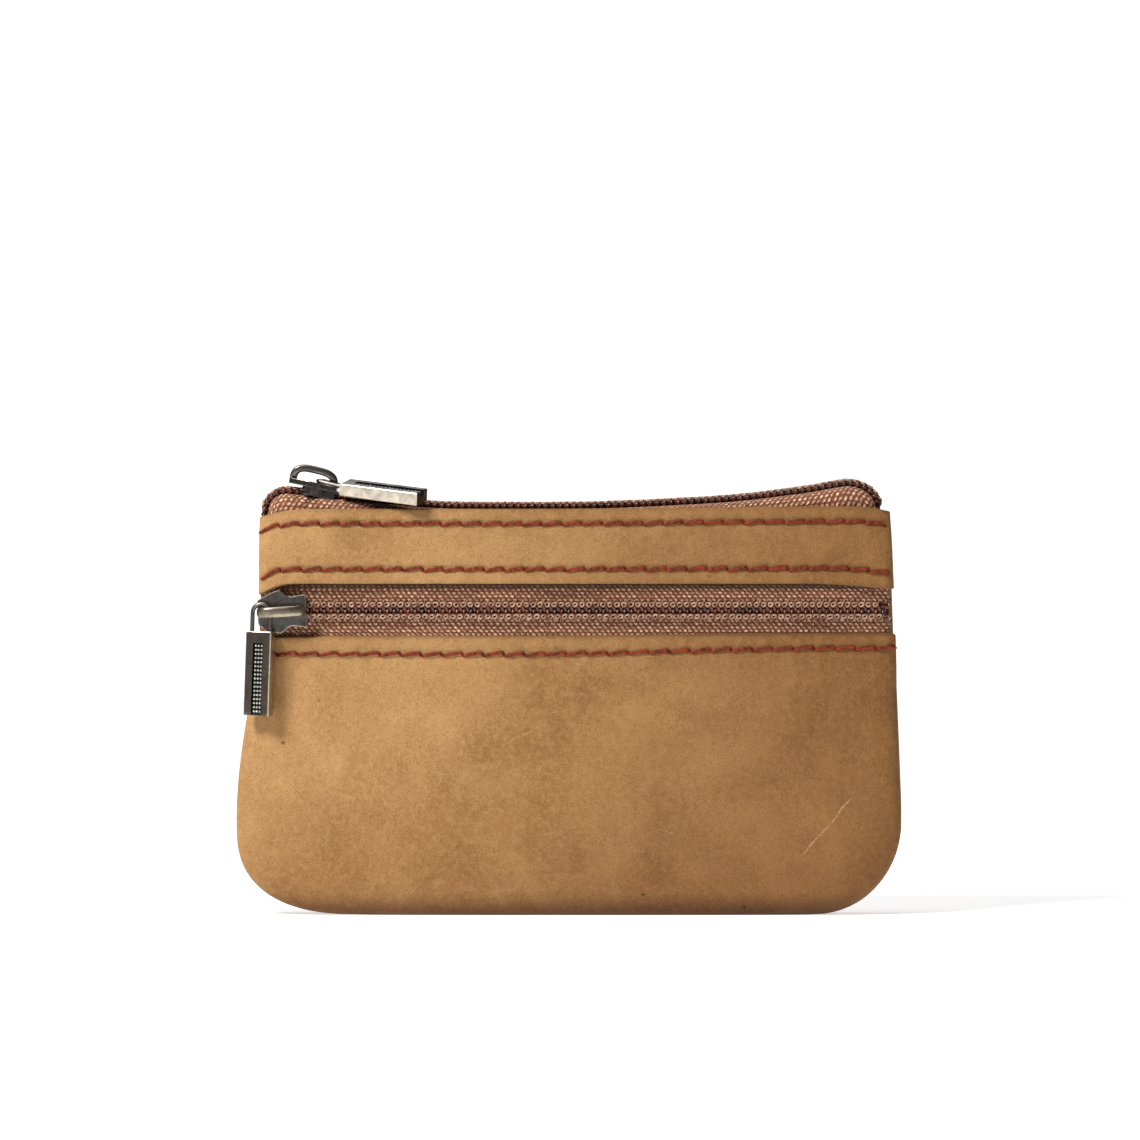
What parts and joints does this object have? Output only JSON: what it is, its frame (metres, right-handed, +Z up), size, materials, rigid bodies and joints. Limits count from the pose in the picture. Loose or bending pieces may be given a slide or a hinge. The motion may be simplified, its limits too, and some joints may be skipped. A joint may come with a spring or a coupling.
{
  "type": "zippered pouch",
  "caption": "Small upright leather pouch with a zipped top mouth, a zipped front pocket, wire pull rings and flat metal pull tabs.",
  "frame": {"origin": "middle of the flat bottom seam, on the surface the pouch stands on", "axes": "+X to the right along the zips, +Y from front to back, +Z up; the front pocket faces -Y"},
  "size_m": [0.1214, 0.0178, 0.082],
  "materials": {
    "leather": "matt nubuck",
    "thread": "twisted thread",
    "zip_tape": "woven tape",
    "zip_coil": "nylon coil",
    "slider_metal": "antiqued gunmetal plating",
    "ring_metal": "antiqued wire",
    "tab_metal": "antiqued gunmetal plating",
    "lining": "plain woven lining"
  },
  "bodies": {
    "pouch": {"front_band": "leather", "front_panel": "leather", "back_panel": "leather", "band_top_stitching": "thread", "band_bottom_stitching": "thread", "panel_top_stitching": "thread", "back_top_stitching": "thread", "seam_thread": "thread", "front_tape_upper": "zip_tape", "front_tape_lower": "zip_tape", "front_coil_upper": "zip_coil", "front_coil_lower": "zip_coil", "top_tape_front": "zip_tape", "top_tape_back": "zip_tape", "top_coil_front": "zip_coil", "top_coil_back": "zip_coil", "pocket_lining_front": "lining", "pocket_lining_back": "lining", "main_lining_front": "lining", "main_lining_back": "lining"},
    "front_slider": {"front_slider": "slider_metal"},
    "front_ring": {"front_pull_ring": "ring_metal"},
    "front_tab": {"front_pull_tab": "tab_metal"},
    "top_slider": {"top_slider": "slider_metal"},
    "top_ring": {"top_pull_ring": "ring_metal"},
    "top_tab": {"top_pull_tab": "tab_metal"}
  },
  "joints": [
    {"name": "front_slider_travel", "type": "slide", "parent": "pouch", "child": "front_slider", "axis": [1, 0, 0], "range_m": [0, 0.1]},
    {"name": "front_ring_swing", "type": "hinge", "parent": "front_slider", "child": "front_ring", "pos_m": [-0.0558, -0.00896, 0.05524], "axis": [0, 1, 0], "range_deg": [0, 150]},
    {"name": "front_tab_lift", "type": "hinge", "parent": "front_ring", "child": "front_tab", "pos_m": [-0.05595, -0.00896, 0.051], "axis": [-0.9994, 0, 0.0349], "range_deg": [0, 30]},
    {"name": "top_slider_travel", "type": "hinge", "parent": "pouch", "child": "top_slider", "pos_m": [-0.0045, 0, 0.45765], "axis": [0, -1, 0], "range_deg": [0, 14.1]},
    {"name": "top_ring_lift", "type": "hinge", "parent": "top_slider", "child": "top_ring", "pos_m": [-0.04461, 0, 0.07949], "axis": [-0.1392, -0.9903, 0], "range_deg": [0, 125]},
    {"name": "top_tab_lift", "type": "hinge", "parent": "top_ring", "child": "top_tab", "pos_m": [-0.03885, -0.00081, 0.07898], "axis": [-0.1392, -0.9903, 0], "range_deg": [0, 30]}
  ]
}
